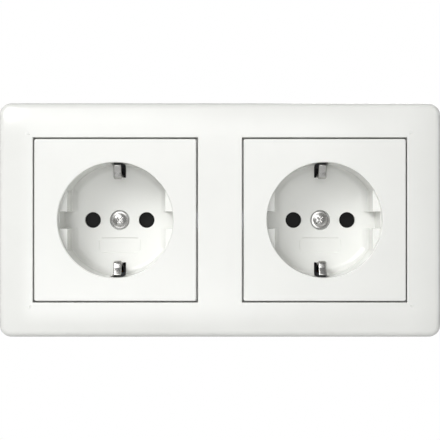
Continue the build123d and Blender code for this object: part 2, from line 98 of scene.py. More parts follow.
@dataclass(frozen=True)
class Finish:
    """A surface finish that builds one procedural material.

    Args:
        name: Name of the material.
        colour: Linear base colour.
        roughness: Mean roughness.
        metallic: 0 for plastic, 1 for bare or plated metal.
        mottle_scale: Patches of tone per metre.
        mottle_depth: Share by which the tone varies.
        grain_scale: Grains of surface texture per metre.
        grain_height: Height of the surface texture in metres.
        specular: Strength of the mirroring of a surface that is no metal.
        slot: Material slot of the record that the finish belongs to. Not used.
    """

    name: str
    colour: Colour
    roughness: float
    metallic: float = 0.0
    mottle_scale: float = 60.0
    mottle_depth: float = 0.03
    grain_scale: float = 900.0
    grain_height: float = 4e-6
    specular: float = 0.5
    slot: str = ""

    def material(self) -> bpy.types.Material:
        """Build the material, or give back the one already built.

        Returns:
            The node-based material.
        """
        made = bpy.data.materials.get(self.name)
        if made is not None:
            return made
        made = bpy.data.materials.new(self.name)
        made.use_nodes = True
        shader = made.node_tree.nodes["Principled BSDF"]
        shader.inputs["Metallic"].default_value = self.metallic
        shader.inputs["Specular IOR Level"].default_value = self.specular
        place = made.node_tree.nodes.new("ShaderNodeTexCoord")
        self._tone(made.node_tree, place, shader)
        self._texture(made.node_tree, place, shader)
        return made

    def _tone(
        self, tree: bpy.types.NodeTree, place: bpy.types.Node, shader: bpy.types.Node
    ) -> None:
        """Vary colour and roughness softly over the surface.

        Args:
            tree: Node tree of the material.
            place: Node that gives the texture's place.
            shader: Shader that takes the colour.
        """
        nodes, links = tree.nodes, tree.links
        noise = nodes.new("ShaderNodeTexNoise")
        noise.inputs["Scale"].default_value = self.mottle_scale
        noise.inputs["Detail"].default_value = 4.0
        links.new(place.outputs["Object"], noise.inputs["Vector"])
        ramp = nodes.new("ShaderNodeValToRGB")
        low, high = 1.0 - self.mottle_depth, 1.0 + self.mottle_depth
        for stop, share in zip(ramp.color_ramp.elements, (low, high)):
            stop.color = (*(min(1.0, part * share) for part in self.colour), 1.0)
        links.new(noise.outputs["Fac"], ramp.inputs["Fac"])
        links.new(ramp.outputs["Color"], shader.inputs["Base Color"])
        wear = nodes.new("ShaderNodeMapRange")
        wear.inputs["To Min"].default_value = self.roughness * (1.0 - WEAR)
        wear.inputs["To Max"].default_value = self.roughness * (1.0 + WEAR)
        links.new(noise.outputs["Fac"], wear.inputs["Value"])
        links.new(wear.outputs["Result"], shader.inputs["Roughness"])

    def _texture(
        self, tree: bpy.types.NodeTree, place: bpy.types.Node, shader: bpy.types.Node
    ) -> None:
        """Raise a fine grain on the surface.

        Args:
            tree: Node tree of the material.
            place: Node that gives the texture's place.
            shader: Shader that takes the bump.
        """
        nodes, links = tree.nodes, tree.links
        grain = nodes.new("ShaderNodeTexNoise")
        grain.inputs["Scale"].default_value = self.grain_scale
        grain.inputs["Detail"].default_value = 3.0
        links.new(place.outputs["Object"], grain.inputs["Vector"])
        bump = nodes.new("ShaderNodeBump")
        bump.inputs["Distance"].default_value = self.grain_height
        links.new(grain.outputs["Fac"], bump.inputs["Height"])
        links.new(bump.outputs["Normal"], shader.inputs["Normal"])


WHITE_PLASTIC = Finish("white_gloss_plastic", (0.83, 0.835, 0.806), 0.16, grain_scale=300.0,
                       grain_height=2e-6, slot="white_plastic")
BASE_PLASTIC = Finish("carrier_plastic", (0.035, 0.035, 0.04), 0.55, grain_height=1.5e-5,
                      slot="base_plastic")
CAP_PLASTIC = Finish("rear_cap_plastic", (0.32, 0.33, 0.34), 0.5, grain_height=1.5e-5,
                     slot="cap_plastic")
BUTTON_PLASTIC = Finish("orange_button_plastic", (0.8, 0.24, 0.03), 0.4, grain_height=8e-6,
                        slot="button_plastic")
# The shutter's near-black colour is partly its black plastic and partly painted shade, standing for
# the dark hollow behind each pin hole.
SHUTTER_BLACK_AND_PAINTED_SHADE = Finish("shutter_black_and_painted_shade", (0.006, 0.006, 0.006), 0.4, specular=0.12,
                         slot="shutter_plastic")
ZINC_STEEL = Finish("zinc_plated_steel", (0.6, 0.61, 0.63), 0.34, metallic=1.0, mottle_depth=0.12,
                    mottle_scale=180.0, grain_height=6e-6, slot="zinc_steel")
NICKEL = Finish("nickel_plate", (0.56, 0.555, 0.54), 0.24, metallic=1.0, mottle_depth=0.05,
                slot="nickel")
BRASS = Finish("sheet_brass", (0.78, 0.56, 0.22), 0.28, metallic=1.0, mottle_depth=0.08,
               slot="brass")
SPRING_STEEL = Finish("bright_spring_steel", (0.5, 0.5, 0.52), 0.25, metallic=1.0,
                      slot="spring_steel")

# The nodes of each insert that stay as they are and only take a finish.
NODE_FINISHES: dict[str, Finish] = {
    "support_ring": ZINC_STEEL,
    "ring_rivets": ZINC_STEEL,
    "base": BASE_PLASTIC,
    "rear_cap": CAP_PLASTIC,
    "line_contact": BRASS,
    "neutral_contact": BRASS,
    "line_clamp_springs": SPRING_STEEL,
    "neutral_clamp_springs": SPRING_STEEL,
    "earth_clamp_springs": SPRING_STEEL,
    "shutter": SHUTTER_BLACK_AND_PAINTED_SHADE,
    "shutter_spring": SPRING_STEEL,
    "release_line": BUTTON_PLASTIC,
    "release_neutral": BUTTON_PLASTIC,
    "release_earth": BUTTON_PLASTIC,
    "claw_a": ZINC_STEEL,
    "claw_b": ZINC_STEEL,
    "claw_nut_a": ZINC_STEEL,
    "claw_nut_b": ZINC_STEEL,
}


def dress(piece: bpy.types.Object, finish: Finish) -> None:
    """Give a piece one finish all over.

    Args:
        piece: Object to dress.
        finish: Finish that it takes.
    """
    if not piece.material_slots:
        piece.data.materials.append(finish.material())
    for slot in piece.material_slots:
        slot.material = finish.material()


@contextmanager
def editing(piece: bpy.types.Object) -> Iterator[None]:
    """Open one piece for editing by its points, with nothing else selected.

    Args:
        piece: Object to edit.
    """
    choose(piece)
    bpy.ops.object.mode_set(mode="EDIT")
    bpy.ops.mesh.select_mode(type="VERT")
    try:
        yield
    finally:
        bpy.ops.object.mode_set(mode="OBJECT")


def clear_choice() -> None:
    """Deselect every object."""
    if bpy.context.mode != "OBJECT":
        bpy.ops.object.mode_set(mode="OBJECT")
    bpy.ops.object.select_all(action="DESELECT")


def choose(piece: bpy.types.Object) -> None:
    """Make one piece the only selected and the active one.

    Args:
        piece: Object to choose.
    """
    clear_choice()
    piece.select_set(True)
    bpy.context.view_layer.objects.active = piece


def pick_faces(test: PlaceTest) -> int:
    """Select faces of the piece in edit mode by where they lie.

    Args:
        test: Says by middle and normal whether a face is wanted.

    Returns:
        How many faces are selected.
    """
    mesh = bpy.context.edit_object.data
    shape = bmesh.from_edit_mesh(mesh)
    bpy.ops.mesh.select_all(action="DESELECT")
    bpy.ops.mesh.select_mode(type="FACE")
    for face in shape.faces:
        face.select_set(test(face.calc_center_median(), face.normal))
    bmesh.update_edit_mesh(mesh)
    return sum(face.select for face in shape.faces)


def pick_edges(test: PlaceTest) -> int:
    """Select edges of the piece in edit mode by where they lie.

    Args:
        test: Says by the two ends whether an edge is wanted.

    Returns:
        How many edges are selected.
    """
    mesh = bpy.context.edit_object.data
    shape = bmesh.from_edit_mesh(mesh)
    bpy.ops.mesh.select_all(action="DESELECT")
    bpy.ops.mesh.select_mode(type="EDGE")
    for edge in shape.edges:
        edge.select_set(test(edge.verts[0].co, edge.verts[1].co))
    bmesh.update_edit_mesh(mesh)
    return sum(edge.select for edge in shape.edges)


def round_picked(radius: float, segments: int) -> None:
    """Round the selected edges, with the radius in millimetres."""
    bpy.ops.mesh.bevel(offset=radius * MM, segments=segments, affect="EDGES", clamp_overlap=True)


def upright(one: Vector, other: Vector) -> bool:
    """Say whether an edge runs along Z."""
    return abs(one.x - other.x) < SAME_PLACE and abs(one.y - other.y) < SAME_PLACE


def faces_down(middle: Vector, normal: Vector) -> bool:
    """Say whether a face looks down the Z axis."""
    return normal.z < DOWNWARD


def push_out(step: Triple) -> None:
    """Extrude what is selected by a step."""
    bpy.ops.mesh.extrude_region_move(TRANSFORM_OT_translate={"value": step})


def clean_up() -> None:
    """Merge doubles of the closed piece in edit mode and turn its faces outwards."""
    bpy.ops.mesh.select_all(action="SELECT")
    bpy.ops.mesh.remove_doubles(threshold=SAME_PLACE)
    bpy.ops.mesh.normals_make_consistent(inside=False)
    if bmesh.from_edit_mesh(bpy.context.edit_object.data).calc_volume(signed=True) < 0.0:
        bpy.ops.mesh.flip_normals()


def draw_profile(name: str, points: Sequence[Point]) -> bpy.types.Object:
    """Draw a line of edges in the X-Z plane, point after point.

    Args:
        name: Name of the piece.
        points: Radius and height of each point, in millimetres.

    Returns:
        The object, which holds edges only.
    """
    clear_choice()
    radius, height = points[0]
    bpy.ops.mesh.primitive_plane_add(size=MM, location=(radius * MM, 0.0, height * MM))
    piece = bpy.context.active_object
    piece.name = name
    choose(piece)
    bpy.ops.object.transform_apply(location=True, rotation=True, scale=True)
    with editing(piece):
        bpy.ops.mesh.select_all(action="SELECT")
        bpy.ops.mesh.merge(type="CENTER")
        for (r_from, z_from), (r_to, z_to) in pairwise(points):
            push_out(((r_to - r_from) * MM, 0.0, (z_to - z_from) * MM))
    return piece


def lathe(name: str, points: Sequence[Point], steps: int = 64) -> bpy.types.Object:
    """Turn a profile that starts and ends on the Z axis into a solid.

    Args:
        name: Name of the piece.
        points: Radius and height of each point of the profile, in millimetres.
        steps: Faces round the piece.

    Returns:
        The turned piece.
    """
    piece = draw_profile(name, points)
    with editing(piece):
        bpy.ops.mesh.select_all(action="SELECT")
        bpy.ops.mesh.spin(
            steps=steps, angle=2 * math.pi, center=(0.0, 0.0, 0.0), axis=(0.0, 0.0, 1.0)
        )
        clean_up()
    return piece


def arc(middle: Point, radius: float, start: float, end: float, steps: int) -> list[Point]:
    """Points of an arc.

    Args:
        middle: Middle of the arc, in millimetres.
        radius: Radius of the arc.
        start: Angle at which it starts, in degrees.
        end: Angle at which it ends.
        steps: Parts of the arc.

    Returns:
        The points, both ends included.
    """
    angles = [math.radians(start + (end - start) * step / steps) for step in range(steps + 1)]
    return [(middle[0] + radius * math.cos(a), middle[1] + radius * math.sin(a)) for a in angles]


def rod(name: str, radius: float, low: float, high: float, steps: int = 64) -> bpy.types.Object:
    """Make a plain cylinder about the Z axis, as a piece to combine."""
    return lathe(name, [(0.0, low), (radius, low), (radius, high), (0.0, high)], steps)


def shift(piece: bpy.types.Object, step: Triple) -> bpy.types.Object:
    """Move a piece in its mesh.

    Args:
        piece: Piece to move.
        step: How far it moves, in millimetres.

    Returns:
        The same piece.
    """
    piece.location = [part * MM for part in step]
    choose(piece)
    bpy.ops.object.transform_apply(location=True, rotation=True, scale=True)
    return piece


def prism(name: str, outline: Sequence[Point], low: float, high: float) -> bpy.types.Object:
    """Fill an outline drawn in the X-Z plane and push it out along Y.

    Args:
        name: Name of the piece.
        outline: Points of the outline, in millimetres.
        low: Y at which it starts.
        high: Y at which it ends.

    Returns:
        The closed prism.
    """
    piece = draw_profile(name, outline)
    with editing(piece):
        bpy.ops.mesh.select_all(action="SELECT")
        bpy.ops.mesh.edge_face_add()
        bpy.ops.transform.translate(value=(0.0, low * MM, 0.0))
        push_out((0.0, (high - low) * MM, 0.0))
        clean_up()
    return piece


def thread(
    name: str, core: float, crest: float, low: float, turns: int, pitch: float
) -> bpy.types.Object:
    """Wind a thread round the Z axis.

    Args:
        name: Name of the piece.
        core: Radius at the root, in millimetres.
        crest: Radius at the crest, in millimetres.
        low: Height at which the thread starts, in millimetres.
        turns: Number of turns.
        pitch: Rise of one turn, in millimetres.

    Returns:
        The closed thread.
    """
    flat = pitch / 8
    points = [
        (core, low),
        (core, low + flat),
        (crest, low + pitch / 2 - flat / 2),
        (crest, low + pitch / 2 + flat / 2),
        (core, low + pitch),
    ]
    piece = draw_profile(name, points)
    winding = piece.modifiers.new("winding", "SCREW")
    winding.axis = "Z"
    winding.screw_offset = pitch * MM
    winding.iterations = turns
    winding.steps = THREAD_STEPS
    winding.render_steps = THREAD_STEPS
    winding.use_merge_vertices = True
    winding.merge_threshold = SAME_PLACE
    settle(piece)
    with editing(piece):
        clean_up()
        bpy.ops.mesh.select_all(action="SELECT")
        bpy.ops.mesh.fill_holes(sides=0)
        clean_up()
    return piece


def block(name: str, low: Triple, high: Triple) -> bpy.types.Object:
    """Add a box between two corners, as the start of a piece.

    Args:
        name: Name of the piece.
        low: Lowest corner, in millimetres.
        high: Highest corner, in millimetres.

    Returns:
        The box, with its place in its mesh.
    """
    clear_choice()
    middle = [(a + b) / 2 * MM for a, b in zip(low, high)]
    bpy.ops.mesh.primitive_cube_add(size=1.0, location=middle)
    piece = bpy.context.active_object
    piece.name = name
    piece.scale = [(b - a) * MM for a, b in zip(low, high)]
    choose(piece)
    bpy.ops.object.transform_apply(location=True, rotation=True, scale=True)
    return piece


def turn(piece: bpy.types.Object, degrees: float, axis: str = "Z") -> bpy.types.Object:
    """Turn a piece about an axis through the origin, with the turn in its mesh.

    Args:
        piece: Piece to turn.
        degrees: How far it turns.
        axis: Name of the axis.

    Returns:
        The same piece.
    """
    setattr(piece.rotation_euler, axis.lower(), math.radians(degrees))
    choose(piece)
    bpy.ops.object.transform_apply(location=True, rotation=True, scale=True)
    return piece


def settle(piece: bpy.types.Object) -> None:
    """Apply every modifier of a piece in order.

    Args:
        piece: Piece whose modifiers are applied.
    """
    choose(piece)
    for modifier in list(piece.modifiers):
        bpy.ops.object.modifier_apply(modifier=modifier.name)


def combine(piece: bpy.types.Object, tool: bpy.types.Object, way: Combine) -> None:
    """Cut a piece with a tool or join the tool to it, and remove the tool.

    Args:
        piece: Piece that changes.
        tool: Piece that is used up.
        way: Whether the tool is cut away or joined.
    """
    step = piece.modifiers.new("combine", "BOOLEAN")
    step.operation = way.value
    step.object = tool
    step.solver = "EXACT"
    settle(piece)
    bpy.data.objects.remove(tool, do_unlink=True)


def soften(piece: bpy.types.Object, width: float, segments: int = 2, angle: float = 35.0) -> None:
    """Round the sharp edges of a piece and shade it smooth.

    Args:
        piece: Piece to soften.
        width: Width of the rounding, in millimetres.
        segments: Faces across the rounding.
        angle: Smallest angle of an edge that is rounded, in degrees.
    """
    rounding = piece.modifiers.new("rounding", "BEVEL")
    rounding.width = width * MM
    rounding.segments = segments
    rounding.limit_method = "ANGLE"
    rounding.angle_limit = math.radians(angle)
    rounding.use_clamp_overlap = True
    settle(piece)
    choose(piece)
    bpy.ops.object.shade_smooth_by_angle(angle=math.radians(angle))


def copy_of(piece: bpy.types.Object, name: str) -> bpy.types.Object:
    """Copy a piece with its own mesh.

    Args:
        piece: Piece to copy.
        name: Name of the copy.

    Returns:
        The copy.
    """
    twin = piece.copy()
    twin.data = piece.data.copy()
    twin.name = name
    bpy.context.scene.collection.objects.link(twin)
    return twin


def stand_in(piece: bpy.types.Object, at: float, node: str, body: str, finish: Finish) -> None:
    """Stand a piece on its insert in place of a node.

    Args:
        piece: Piece drawn with Z out of the wall and Y up.
        at: Place along X to move it to, in millimetres.
        node: Node that it stands for.
        body: Body that it moves with.
        finish: Finish that it takes.
    """
    piece.rotation_euler = (math.radians(90.0), 0.0, 0.0)
    piece.location = (at * MM, 0.0, 0.0)
    choose(piece)
    bpy.ops.object.transform_apply(location=True, rotation=True, scale=True)
    dress(piece, finish)
    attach(piece, body)
    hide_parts(node)
    LOG.info("%s is made, %d faces", piece.name, len(piece.data.polygons))


def fused(parts: Sequence[bpy.types.Object], name: str) -> bpy.types.Object:
    """Join pieces into one object, each keeping its own closed skin.

    Args:
        parts: Pieces to join.
        name: Name of the joined piece.

    Returns:
        The joined piece.
    """
    clear_choice()
    for part in parts:
        part.select_set(True)
    bpy.context.view_layer.objects.active = parts[0]
    bpy.ops.object.join()
    parts[0].name = name
    return parts[0]


def threaded(
    screw: bpy.types.Object, core: float, crest: float, tip: float, length: float, pitch: float
) -> bpy.types.Object:
    """Wind a thread on the shank of a screw.

    Args:
        screw: Screw with a plain shank.
        core: Radius of the shank, in millimetres.
        crest: Radius of the thread's crest.
        tip: Height of the shank's tip.
        length: Length of the shank.
        pitch: Rise of one turn of the thread.

    Returns:
        The screw with its thread.
    """
    turns = int((length - 3 * pitch) / pitch)
    winding = thread(f"{screw.name}_thread", core - THREAD_SINK, crest, tip + pitch, turns, pitch)
    return fused([screw, winding], screw.name)


def rounded_route(corners: Sequence[Point], radius: float, steps: int = 8) -> list[Point]:
    """Points of a line of straight runs whose corners are bent to arcs.

    Args:
        corners: Ends and corners of the runs, in millimetres.
        radius: Radius of each bend.
        steps: Parts of each arc.

    Returns:
        The points, arcs included.
    """
    route = [corners[0]]
    for before, corner, after in zip(corners, corners[1:], corners[2:]):
        here = Vector(corner)
        back = (Vector(before) - here).normalized()
        ahead = (Vector(after) - here).normalized()
        half = back.angle(ahead) / 2
        reach = radius / math.tan(half)
        middle = here + (back + ahead).normalized() * radius / math.sin(half)
        start = here + back * reach - middle
        sweep = start.angle_signed(here + ahead * reach - middle)
        for step in range(steps + 1):
            angle = -sweep * step / steps
            turned = Vector((
                start.x * math.cos(angle) - start.y * math.sin(angle),
                start.x * math.sin(angle) + start.y * math.cos(angle),
            ))
            route.append(tuple(middle + turned))
    route.append(corners[-1])
    return route


@dataclass
class Cover:
    """A square cover with a skirt and a deep cup, moulded in one.

    Args:
        width: Side of the square, in millimetres.
        back: Height of the skirt's back edge.
        front: Height of the cover's front.
        plate: Thickness of the front.
        skirt: Thickness of the skirt.
        corner: Radius of the upright corners.
        edge: Radius of the front edges.
        rib: Thickness of the ribs behind.
        rib_back: Height of the ribs' back edge.
        cup_radius: Radius of the cup.
        cup_wall: Thickness of the cup's wall.
        cup_depth: Depth of the cup.
        cup_floor: Thickness of its floor.
        rim: Radius of the cup's rim.
        foot: Radius where wall and floor of the cup meet.
        guide_flat: Distance of the flats for the plug from the middle.
        guide_setback: Depth of the flats' upper ends.
        groove: Width of the groove that parts each flat.
        groove_inset: Distance of the groove's end from the cup's wall.
        pin_spacing: Distance between the pin holes.
        pin_hole: Radius of a pin hole.
        slot_width: Width of the slots for the earth tongues.
        slot_inner: Distance of the slots' inner ends from the middle.
        slot_setback: Depth of the slots' upper ends.
        pad: Length and height of the sunk field.
        pad_corner: Radius of its corners.
        pad_sink: Depth of the field.
        pad_drop: Distance of the field below the middle.
        pad_slope: Width of the field's sloping sides.
        counterbore: Radius of the hole for the screw head.
        counterbore_depth: Depth of that hole.
        boss: Radius of the boss behind it.
        boss_reach: Height of the boss.
        screw_hole: Radius of the hole for the shank.
        soft_edge: Width of the small rounding on every other edge.
        round_steps: Faces round the cup.
        foot_steps: Faces across its round foot.
        edge_steps: Faces across the rounded corners, edges and rim.
        pad_steps: Faces across the rounded corners of the field.
        finish: Finish of the cover.
    """

    width: float = 55.0
    back: float = 3.0
    front: float = 10.5
    plate: float = 2.0
    skirt: float = 1.5
    corner: float = 0.7
    edge: float = 0.45
    rib: float = 1.2
    rib_back: float = 5.5
    cup_radius: float = 19.6
    cup_wall: float = 1.4
    cup_depth: float = 17.5
    cup_floor: float = 2.0
    rim: float = 0.35
    foot: float = 2.6
    guide_flat: float = 16.8
    guide_setback: float = 4.0
    groove: float = 5.9
    groove_inset: float = 0.2
    pin_spacing: float = 19.0
    pin_hole: float = 2.8
    slot_width: float = 4.4
    slot_inner: float = 15.0
    slot_setback: float = 5.0
    pad: Point = (15.4, 6.0)
    pad_corner: float = 1.2
    pad_sink: float = 0.25
    pad_drop: float = 8.9
    pad_slope: float = 0.3
    counterbore: float = 3.5
    counterbore_depth: float = 2.2
    boss: float = 4.4
    boss_reach: float = 2.0
    screw_hole: float = 1.8
    soft_edge: float = 0.12
    round_steps: int = 128
    foot_steps: int = 12
    edge_steps: int = 5
    pad_steps: int = 6
    finish: Finish = WHITE_PLASTIC

    @property
    def floor_front(self) -> float:
        """Height of the cup's floor."""
        return self.front - self.cup_depth

    @property
    def floor_back(self) -> float:
        """Height of the back of the cup's floor."""
        return self.floor_front - self.cup_floor

    def shell(self) -> bpy.types.Object:
        """Make the square front with its skirt and ribs.

        Returns:
            The shell, still without its cup.
        """
        half = self.width / 2
        shell = block("cover", (-half, -half, self.back), (half, half, self.front))
        with editing(shell):
            pick_edges(upright)
            round_picked(self.corner, self.edge_steps)
            top = self.front * MM - SAME_PLACE
            pick_edges(lambda one, other: min(one.z, other.z) > top)
            round_picked(self.edge, self.edge_steps)
        inner = half - self.skirt
        hollow = block(
            "hollow", (-inner, -inner, self.back - CLEAR), (inner, inner, self.front - self.plate)
        )
        combine(shell, hollow, Combine.CUT)
        reach = (inner - self.rib / 2) * math.sqrt(2)
        start = self.cup_radius + self.cup_wall / 2
        for quarter in range(4):
            rib = block(
                "rib",
                (start, -self.rib / 2, self.rib_back),
                (reach, self.rib / 2, self.front - self.plate / 2),
            )
            combine(shell, turn(rib, 45.0 + 90.0 * quarter), Combine.JOIN)
        return shell

    def cup(self) -> bpy.types.Object:
        """Make the solid that the cup is cut out of, with the boss behind it.

        Returns:
            The turned solid.
        """
        outer, boss_back = self.cup_radius + self.cup_wall, self.floor_back - self.boss_reach
        joined = self.front - self.plate / 2
        return lathe("cup", [
            (0.0, boss_back),
            (self.boss, boss_back),
            (self.boss, self.floor_back),
            (outer, self.floor_back),
            (outer, joined),
            (0.0, joined),
        ], self.round_steps)

    def room(self) -> bpy.types.Object:
        """Make the room inside the cup, with flats at its sides and a round foot.

        Returns:
            The room, to be cut away.
        """
        low, above = self.floor_front, self.front + CLEAR
        centre, lip = self.cup_radius - self.foot, self.cup_radius + self.rim
        room = lathe("room", [
            (0.0, low),
            *arc((centre, low + self.foot), self.foot, -90.0, 0.0, self.foot_steps),
            *arc((lip, self.front - self.rim), self.rim, 180.0, 90.0, self.edge_steps),
            (lip, above),
            (0.0, above),
        ], self.round_steps)
        for way in (-1, 1):
            outline = [(way * x, z) for x, z in self.guide()]
            guide = prism("guide", outline, -self.cup_radius, self.cup_radius)
            combine(room, guide, Combine.CUT)
        return room

    def guide(self) -> list[Point]:
        """Outline of the flat at the right of the cup, with its round foot.

        The round stops short of the floor and leaves it at a slant, since a round that only
        touches the floor gives no clean cut.

        Returns:
            Points of the outline, as X and Z.
        """
        slant, run = math.radians(10.0), 2.0
        top, under = self.front - self.guide_setback, self.floor_front - CLEAR
        far, centre = self.cup_radius + 2 * CLEAR, self.guide_flat - self.foot
        foot = arc(
            (centre, self.floor_front + self.foot), self.foot, 0.0, -80.0, self.foot_steps - 1
        )
        end = Vector(foot[-1]) - run * Vector((math.cos(slant), math.sin(slant)))
        return [(self.guide_flat, top), *foot, tuple(end), (end.x, under), (far, under), (far, top)]

    def field(self) -> bpy.types.Object:
        """Make the block that sinks the label field, with sloping sides.

        Returns:
            The block, to be cut away. Half of it stands above the floor.
        """
        length, height = self.pad
        low, high = self.floor_front - self.pad_sink, self.floor_front + self.pad_sink
        middle = -self.pad_drop
        field = block(
            "field",
            (-length / 2, middle - height / 2, low),
            (length / 2, middle + height / 2, high),
        )
        with editing(field):
            pick_edges(upright)
            round_picked(self.pad_corner, self.pad_steps)
            pick_faces(faces_down)
            # The block is twice as high as the field is deep, and both ends slope.
            shares = [1.0 - 4 * self.pad_slope / size for size in self.pad]
            bpy.ops.transform.resize(
                value=(*shares, 1.0), center_override=(0.0, middle * MM, low * MM)
            )
        return field

    def open_side(self, cover: bpy.types.Object, way: int) -> None:
        """Cut the openings at one side of the cup's middle.

        They are the groove through the flat, the slot for an earth tongue and a pin hole.

        Args:
            cover: Cover to cut.
            way: -1 for the left and the lower side, 1 for the right and the upper side.
        """
        inner, outer = self.guide_flat - self.foot, self.cup_radius - self.groove_inset
        near, far = sorted((way * inner, way * outer))
        groove = block(
            "groove",
            (near, -self.groove / 2, self.floor_front),
            (far, self.groove / 2, self.front - self.guide_setback + CLEAR),
        )
        combine(cover, groove, Combine.CUT)
        outer = self.cup_radius + self.cup_wall + CLEAR
        near, far = sorted((way * self.slot_inner, way * outer))
        slot = block(
            "slot",
            (-self.slot_width / 2, near, self.floor_back - CLEAR),
            (self.slot_width / 2, far, self.front - self.slot_setback),
        )
        combine(cover, slot, Combine.CUT)
        hole = rod("pin_hole", self.pin_hole, self.floor_back - CLEAR, self.floor_front + CLEAR)
        combine(cover, shift(hole, (way * self.pin_spacing / 2, 0.0, 0.0)), Combine.CUT)

    def build(self) -> bpy.types.Object:
        """Model the cover at the middle of its insert.

        Returns:
            The cover.
        """
        cover = self.shell()
        combine(cover, self.cup(), Combine.JOIN)
        combine(cover, self.room(), Combine.CUT)
        combine(cover, self.field(), Combine.CUT)
        for way in (-1, 1):
            self.open_side(cover, way)
        seat = self.floor_front - self.counterbore_depth
        boss_back = self.floor_back - self.boss_reach
        combine(cover, rod("seat", self.counterbore, seat, self.floor_front + CLEAR), Combine.CUT)
        combine(cover, rod("shank", self.screw_hole, boss_back - CLEAR, seat + CLEAR), Combine.CUT)
        with editing(cover):
            clean_up()
        soften(cover, self.soft_edge)
        even = cover.modifiers.new("even", "WEIGHTED_NORMAL")
        even.keep_sharp = True
        settle(cover)
        return cover

    def place(self, cover: bpy.types.Object, side: Side) -> None:
        """Put the cover on one insert."""
        cover.name = side.node("cover_moulding")
        stand_in(cover, side.middle, side.node("cover"), "housing", self.finish)


@dataclass
class CoverScrew:
    """The screw in the middle of a cup, with a domed head and a slotted cross recess.

    Args:
        under: Height of the head's underside, in millimetres.
        head_radius: Radius of the head.
        head_height: Height of the head.
        dome_radius: Radius of the domed middle of the head.
        dome_height: Rise of the dome.
        collar_drop: Step down from the dome's edge to the collar round it.
        collar_step: Width of that step.
        collar_fall: How much lower the collar's outer edge lies than its inner one.
        slot_length: Length of the long slot.
        cross_length: Length of the short slot across it.
        slot_width: Width of both slots.
        recess_depth: Depth of both slots.
        recess_foot: Length and width at the foot of a slot, as shares of those at its top.
        recess_above: Height above the head at which the slots have their full size.
        core_radius: Radius of the shank between the threads.
        crest_radius: Radius of the thread's crest.
        length: Length of the shank.
        pitch: Rise of one turn of the thread.
        edge: Width of the rounded edges.
        dome_steps: Faces from the middle of the dome to its edge.
        finish: Finish of the screw.
    """

    under: float = -9.2
    head_radius: float = 3.0
    head_height: float = 2.1
    dome_radius: float = 2.35
    dome_height: float = 0.5
    collar_drop: float = 0.3
    collar_step: float = 0.075
    collar_fall: float = 0.0375
    slot_length: float = 4.4
    cross_length: float = 3.1
    slot_width: float = 0.8
    recess_depth: float = 1.25
    recess_foot: Point = (0.72, 0.3)
    recess_above: float = 0.6
    core_radius: float = 1.22
    crest_radius: float = 1.5
    length: float = 16.0
    pitch: float = 0.5
    edge: float = 0.1
    dome_steps: int = 8
    finish: Finish = NICKEL

    @property
    def top(self) -> float:
        """Height of the dome's top."""
        return self.under + self.head_height

    def profile(self) -> list[Point]:
        """Outline of head and shank from the axis at the top to the axis at the tip.

        Returns:
            Points of the outline, as radius and height.
        """
        ball = (self.dome_radius**2 + self.dome_height**2) / (2 * self.dome_height)
        points = []
        for step in range(self.dome_steps + 1):
            radius = self.dome_radius * step / self.dome_steps
            points.append((radius, self.top - ball + math.sqrt(ball**2 - radius**2)))
        collar = self.top - self.dome_height - self.collar_drop
        tip = self.under - self.length
        points += [
            (self.dome_radius + self.collar_step, collar),
            (self.head_radius, collar - self.collar_fall),
            (self.head_radius, self.under),
            (self.core_radius, self.under),
            (self.core_radius, tip + self.pitch),
            (self.core_radius / 2, tip),
            (0.0, tip),
        ]
        return points

    def slot(self, length: float, name: str) -> bpy.types.Object:
        """Make the wedge that cuts one slot, narrower and shorter at its foot.

        Args:
            length: Full length of the slot.
            name: Name of the wedge.

        Returns:
            The wedge, to be cut away.
        """
        half = self.slot_width / 2
        low, high = self.top - self.recess_depth, self.top + self.recess_above
        wedge = block(name, (-length / 2, -half, low), (length / 2, half, high))
        with editing(wedge):
            pick_faces(faces_down)
            bpy.ops.transform.resize(
                value=(*self.recess_foot, 1.0), center_override=(0.0, 0.0, low * MM)
            )
        return turn(wedge, 45.0)

    def build(self) -> bpy.types.Object:
        """Model the screw at the middle of its insert.

        Returns:
            The screw with its thread.
        """
        screw = lathe("cover_screw", self.profile(), steps=72)
        cross = self.slot(self.cross_length, "cross_wedge")
        turn(cross, 90.0)
        combine(screw, self.slot(self.slot_length, "slot_wedge"), Combine.CUT)
        combine(screw, cross, Combine.CUT)
        soften(screw, self.edge, segments=3, angle=30.0)
        tip = self.under - self.length
        return threaded(screw, self.core_radius, self.crest_radius, tip, self.length, self.pitch)

    def place(self, screw: bpy.types.Object, side: Side) -> None:
        """Put the screw in one insert."""
        screw.name = side.node("cover_screw_metal")
        stand_in(screw, side.middle, side.node("cover_screw"), "housing", self.finish)


